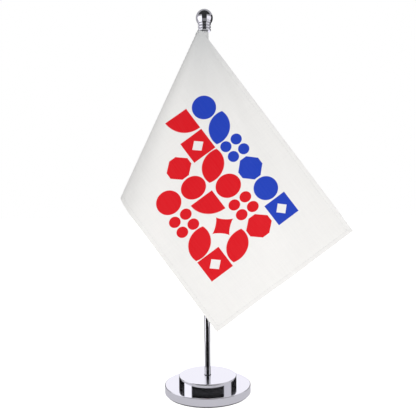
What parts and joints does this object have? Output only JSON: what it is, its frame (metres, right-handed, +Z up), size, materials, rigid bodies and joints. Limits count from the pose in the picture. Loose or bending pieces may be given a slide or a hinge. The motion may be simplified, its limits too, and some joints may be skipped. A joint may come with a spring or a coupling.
{
  "type": "desk flag stand",
  "caption": "Desk flag stand: a chrome two-tier round base, a screw-in pole with a ball finial, and a white cloth flag that hangs folded from a sleeve on the pole.",
  "frame": {"origin": "on the desk, at the centre of the base's underside, under the pole's axis", "axes": "+Z up along the pole; -Y is the front, which shows the flag's printed face; the flag's free end points to +X"},
  "size_m": [0.1947, 0.073, 0.3272],
  "materials": {
    "pad_foam": "matte",
    "chrome_lower": "polished",
    "weight_iron": "matte",
    "chrome_upper": "polished",
    "screw_steel": "satin",
    "nut_steel": "satin",
    "ring_rubber": "satin",
    "chrome_pole": "polished",
    "stud_steel": "satin",
    "plug_brass": "satin",
    "sleeve_satin": "satin",
    "flag_satin": "satin",
    "chrome_collar": "polished",
    "chrome_ball": "polished",
    "finial_stud_steel": "satin"
  },
  "bodies": {
    "base": {"base_pad": "pad_foam", "lower_cover": "chrome_lower", "base_weight": "weight_iron", "upper_disc": "chrome_upper", "tier_screws": "screw_steel", "captive_nut": "nut_steel"},
    "foot_ring": {"foot_ring": "ring_rubber"},
    "pole": {"pole_tube": "chrome_pole", "pole_stud": "stud_steel", "pole_top_plug": "plug_brass"},
    "flag": {"flag_sleeve": "sleeve_satin", "flag_cloth": "flag_satin"},
    "finial_collar": {"finial_collar": "chrome_collar"},
    "finial": {"finial_ball": "chrome_ball", "finial_stud": "finial_stud_steel"}
  },
  "joints": [
    {"name": "pole_lift", "type": "slide", "parent": "base", "child": "foot_ring", "axis": [0, 0, 1], "range_m": [0, 0.0028]},
    {"name": "pole_turn", "type": "hinge", "parent": "foot_ring", "child": "pole", "pos_m": [0, 0, 0], "axis": [0, 0, 1], "range_deg": [0, 1440]},
    {"name": "flag_swivel", "type": "hinge", "parent": "pole", "child": "flag", "pos_m": [0, 0, 0.17], "axis": [0, 0, 1], "continuous": true},
    {"name": "finial_lift", "type": "slide", "parent": "pole", "child": "finial_collar", "axis": [0, 0, 1], "range_m": [0, 0.0063]},
    {"name": "finial_turn", "type": "hinge", "parent": "finial_collar", "child": "finial", "pos_m": [0, 0, 0.308], "axis": [0, 0, 1], "range_deg": [0, 5040]}
  ],
  "couplings": [
    {"joint": "pole_turn", "follows": "pole_lift", "rad_per_m": 8976},
    {"joint": "finial_turn", "follows": "finial_lift", "rad_per_m": 13963}
  ]
}
